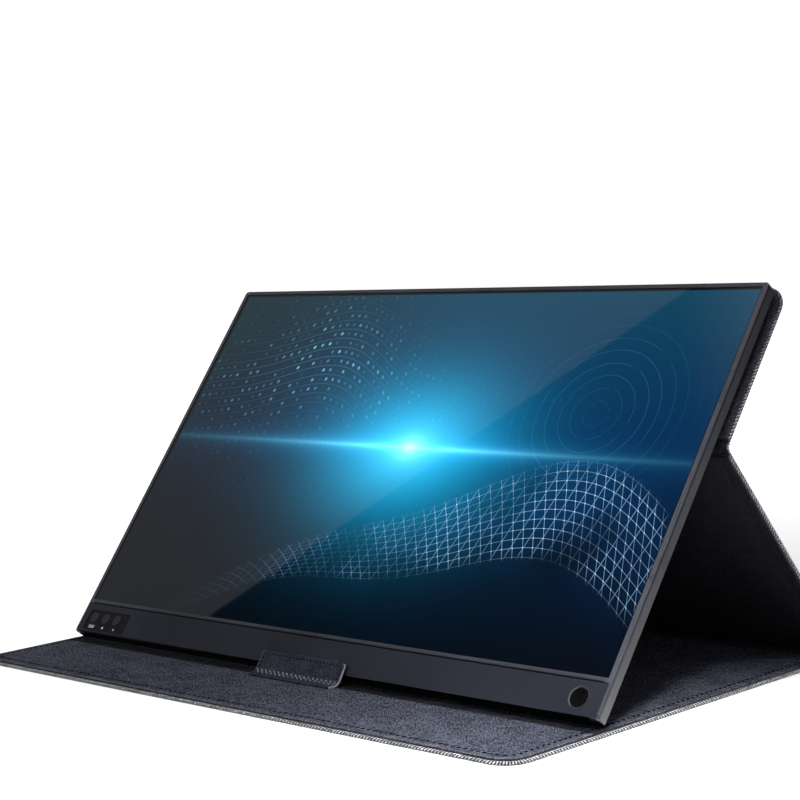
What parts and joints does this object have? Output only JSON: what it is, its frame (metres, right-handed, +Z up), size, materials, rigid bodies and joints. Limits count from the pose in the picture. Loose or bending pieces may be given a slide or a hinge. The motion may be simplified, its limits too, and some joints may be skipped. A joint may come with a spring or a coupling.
{
  "type": "portable monitor",
  "caption": "Thin flat-screen portable monitor in a folding fabric case that opens into a stand, with menu buttons and a round power button in its chin",
  "frame": {"origin": "on the table, under the middle of the whole object's box", "axes": "+X along the screen's width, towards the power button; +Y back, away from the viewer; +Z up"},
  "size_m": [0.357, 0.2405, 0.1786],
  "materials": {
    "case_fabric": "pale grey woven cover cloth with dark flecks, rolled over the board's edge",
    "case_leather": "dark blue-grey grained synthetic leather with a stitched margin",
    "crease_leather": "supple folded strip, cloth outside and synthetic leather inside",
    "tab_leather": "two plies of synthetic leather sewn together, burnished edge",
    "case_board": "stiff grey panel board",
    "magnet": "flat nickel-plated magnet",
    "frame_plastic": "satin dark grey moulding with a bright chamfered rim",
    "chin_plastic": "satin dark grey moulding",
    "plate_plastic": "fine matt near-black moulding",
    "button_plastic": "satin dark keycap",
    "power_plastic": "satin black hollow cap",
    "bright_ring": "diamond-cut bright rim",
    "screen_glass": "smooth clear glass over a lit screen",
    "panel_glass": "thin laminated display layers",
    "guide_plastic": "clear light guide with a white back",
    "led_strip": "white strip of small lamps",
    "tray_metal": "thin pressed sheet",
    "circuit_board": "green solder mask",
    "shield_metal": "tin-plated pressed shells",
    "switch_plastic": "small black moulding",
    "battery_wrap": "grey heat-sealed pouch",
    "speaker_plastic": "black speaker box",
    "screw_steel": "small flat-headed machine screws",
    "shell_plastic": "fine matt dark grey moulding",
    "pad_rubber": "thin double-sided adhesive foam"
  },
  "bodies": {
    "base": {"cover_board": "case_board", "cover_fabric": "case_fabric", "cover_lining": "case_leather", "cover_magnets": "magnet", "spine_board": "case_board", "spine_fabric": "case_fabric", "spine_lining": "case_leather", "spine_crease": "crease_leather", "foot_crease": "crease_leather", "tab_strip": "tab_leather"},
    "prop": {"prop_board": "case_board", "prop_fabric": "case_fabric", "prop_lining": "case_leather", "fold_crease": "crease_leather"},
    "monitor": {"front_frame": "frame_plastic", "chin_cover": "chin_plastic", "button_plate": "plate_plastic", "power_ring": "bright_ring", "cover_glass": "screen_glass", "touch_sensor": "panel_glass", "lcd_cell": "panel_glass", "light_guide": "guide_plastic", "led_bar": "led_strip", "backlight_tray": "tray_metal", "chassis_plate": "tray_metal", "main_board": "circuit_board", "shield_cans": "shield_metal", "battery_left": "battery_wrap", "battery_right": "battery_wrap", "speaker_left": "speaker_plastic", "speaker_right": "speaker_plastic", "usb_sockets": "shield_metal", "hdmi_socket": "shield_metal", "audio_jack": "switch_plastic", "menu_switches": "switch_plastic", "button_board": "circuit_board", "power_switch": "switch_plastic", "power_board": "circuit_board", "chassis_screws": "screw_steel", "board_screws": "screw_steel", "rear_shell": "shell_plastic", "adhesive_pads": "pad_rubber", "back_board": "case_board", "back_fabric": "case_fabric", "back_lining": "case_leather"},
    "tab": {"tab_flap": "tab_leather"},
    "menu_button_left": {"menu_button_left": "button_plastic"},
    "menu_button_middle": {"menu_button_middle": "button_plastic"},
    "menu_button_right": {"menu_button_right": "button_plastic"},
    "power_button": {"power_button": "power_plastic"}
  },
  "joints": [
    {"name": "rear_hinge", "type": "hinge", "parent": "base", "child": "prop", "pos_m": [0, 0.11995, 0.0003], "axis": [-1, 0, 0], "range_deg": [0, 129.8], "deforming": ["foot_crease"]},
    {"name": "fold_hinge", "type": "hinge", "parent": "prop", "child": "monitor", "pos_m": [0, 0.02958, 0.10854], "axis": [1, 0, 0], "range_deg": [0, 77.5], "deforming": ["fold_crease"]},
    {"name": "tab_hinge", "type": "hinge", "parent": "base", "child": "tab", "pos_m": [0, -0.06784, 0.00435], "axis": [1, 0, 0], "range_deg": [0, 121.5]},
    {"name": "menu_button_left_press", "type": "slide", "parent": "monitor", "child": "menu_button_left", "axis": [0, 0.7923, -0.6101], "range_m": [0, 0.0004], "stiffness_N_per_m": 2000, "springref_m": -0.0002},
    {"name": "menu_button_middle_press", "type": "slide", "parent": "monitor", "child": "menu_button_middle", "axis": [0, 0.7923, -0.6101], "range_m": [0, 0.0004], "stiffness_N_per_m": 2000, "springref_m": -0.0002},
    {"name": "menu_button_right_press", "type": "slide", "parent": "monitor", "child": "menu_button_right", "axis": [0, 0.7923, -0.6101], "range_m": [0, 0.0004], "stiffness_N_per_m": 2000, "springref_m": -0.0002},
    {"name": "power_button_press", "type": "slide", "parent": "monitor", "child": "power_button", "axis": [0, 0.7923, -0.6101], "range_m": [0, 0.0005], "stiffness_N_per_m": 2000, "springref_m": -0.0002}
  ],
  "couplings": [
    {"joint": "fold_hinge", "follows": "rear_hinge", "ratio": 0.59648}
  ]
}
